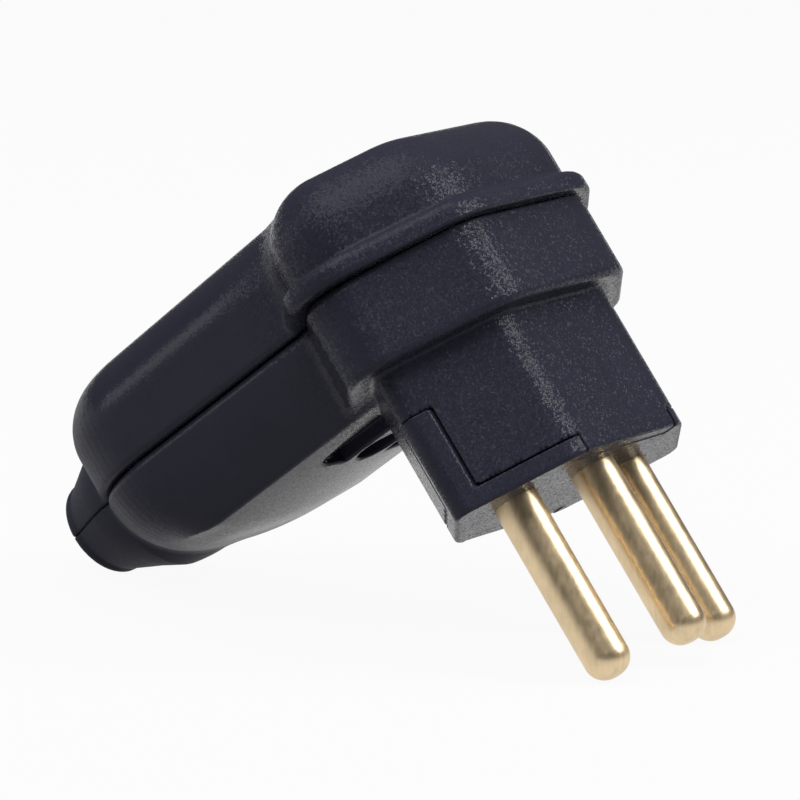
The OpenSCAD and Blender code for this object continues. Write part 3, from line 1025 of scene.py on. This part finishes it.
@dataclass(frozen=True)
class Softbox:
    """One soft rectangular light aimed at the plug."""

    name: str
    toward: tuple[float, float, float]
    distance: float
    size: tuple[float, float]
    power: float
    aim_z: float = 0.02

    def build(self) -> None:
        """Hang the light and aim it."""
        lamp = bpy.data.lights.new(self.name, "AREA")
        lamp.shape = "RECTANGLE"
        lamp.size, lamp.size_y = self.size
        lamp.energy = self.power
        box = bpy.data.objects.new(self.name, lamp)
        way = Vector(self.toward).normalized()
        box.location = way * self.distance + Vector((0, 0, self.aim_z))
        box.rotation_euler = way.to_track_quat("Z", "Y").to_euler()
        bpy.context.scene.collection.objects.link(box)


@dataclass(frozen=True)
class Studio:
    """Floor, world, lights and the camera at the photograph's viewing angle."""

    eye: tuple[float, float, float] = (-421.1, -276.4, -76.6)
    right: tuple[float, float, float] = (0.5631, -0.6633, -0.4929)
    down: tuple[float, float, float] = (-0.1552, 0.5009, -0.8515)
    lens: float = 242.66
    sensor: float = 36.0
    clip: tuple[float, float] = (0.01, 20.0)
    world_level: float = 0.1
    floor_half: float = 8.0
    floor_finish: PaleFloor = PaleFloor("white_paper", 0.4, 0.94)
    softboxes: tuple[Softbox, ...] = (
        Softbox("overhead_softbox", (-0.3, 0.1, 0.95), 1.0, (1.0, 1.0), 12.0),
        Softbox("strip_softbox", (0.39, -0.628, 0.667), 0.7, (0.26, 0.3), 3.5),
        Softbox("back_softbox", (-0.57, 0.8, 0.16), 0.8, (0.22, 0.22), 0.7),
    )

    def build(self, rest: Rest) -> None:
        """Set up everything round the plug.

        Args:
            rest: How the plug lies on the table.
        """
        self._camera(rest)
        self._world()
        self._floor()
        for box in self.softboxes:
            box.build()
        bpy.context.scene.view_settings.view_transform = "Standard"

    def _camera(self, rest: Rest) -> None:
        """Place the camera.

        Args:
            rest: How the plug lies on the table.
        """
        camera = bpy.data.cameras.new("photo_camera")
        camera.lens = self.lens
        camera.sensor_width = self.sensor
        camera.clip_start, camera.clip_end = self.clip
        body = bpy.data.objects.new("photo_camera", camera)
        right, down = (Vector(v).normalized() for v in rest.turn(np.array([self.right, self.down])))
        back = right.cross(-down)
        body.matrix_world = Matrix.Translation(rest.lay(np.array([self.eye]))[0]) @ Matrix(
            (right, -down, back)).transposed().to_4x4()
        bpy.context.scene.collection.objects.link(body)
        bpy.context.scene.camera = body

    def _world(self) -> None:
        """Even pale light from all round."""
        world = bpy.data.worlds.new("studio_world")
        world.use_nodes = True
        back = world.node_tree.nodes["Background"]
        back.inputs["Color"].default_value = (1, 1, 1, 1)
        back.inputs["Strength"].default_value = self.world_level
        bpy.context.scene.world = world

    def _floor(self) -> None:
        """Lay the floor."""
        half = self.floor_half
        mesh = bpy.data.meshes.new("floor")
        corners = [(-half, -half, 0), (half, -half, 0), (half, half, 0), (-half, half, 0)]
        mesh.from_pydata(corners, [], [(0, 1, 2, 3)])
        mesh.materials.append(self.floor_finish.material())
        floor = bpy.data.objects.new("floor", mesh)
        bpy.context.scene.collection.objects.link(floor)


def dress(node: str, finish: bpy.types.Material) -> None:
    """Give a CAD node its finish.

    Args:
        node: Name of the node.
        finish: Its material.
    """
    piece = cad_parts[node]
    piece.data.materials.clear()
    piece.data.materials.append(finish)
    LOG.info("%s: dressed", node)


def main() -> None:
    """Build the pieces in order, dress the rest and set up the studio."""
    logging.basicConfig(level=logging.INFO, format="%(message)s")
    housing = Housing()
    rest = Rest.of(housing.pins, housing.outlet)
    out = tuple(rest.turn(np.array([[0, 0, -1]]))[0])
    along = tuple(rest.turn(np.array([[0, 1, 0]]))[0])
    arm, end = (float(rest.lay(np.array([[0, y, 0]]))[0] @ along)
                for y in (housing.arm.calm_from, housing.arm.matt_from))
    ink = (0.025, 0.025, 0.039)
    black = MouldedPlastic("grained_black_plastic", ink, 0.21, 0.8, 0.38, along, arm, end).material()
    satin = MouldedPlastic("satin_black_plastic", ink, 0.23, 0.5, 0.3, along, arm, end).material()
    brass = SatinBrass("satin_brass", (0.80, 0.63, 0.40), 0.38, out).material()
    zinc = ZincSteel("zinc_steel", (0.66, 0.67, 0.69), 0.35).material()
    base_grid = Mesher(0.35, (-23, -13, -1), (23, 54, 25))
    cover_grid = Mesher(0.35, (-24, -14, 19), (24, 54, 37))
    carrier_grid = Mesher(0.26, (-20.5, -10, -1), (20.5, 10, 12))
    shells = (
        Moulding("base_shell", housing.base, base_grid, Slot.HOUSING),
        Moulding("cover_shell", housing.cover, cover_grid, Slot.HOUSING),
        Moulding("pin_carrier", housing.carrier, carrier_grid, Slot.INSULATOR),
    )
    for shell in shells:
        shell.build(rest, satin if shell.slot is Slot.INSULATOR else black)
    for node in housing.pins.places():
        dress(node, brass)
    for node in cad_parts:
        if node.endswith("screw") or node.startswith("clamp_screw"):
            dress(node, zinc)
    dress("cord_clamp", satin)
    Studio().build(rest)


if __name__ == "__main__":
    main()
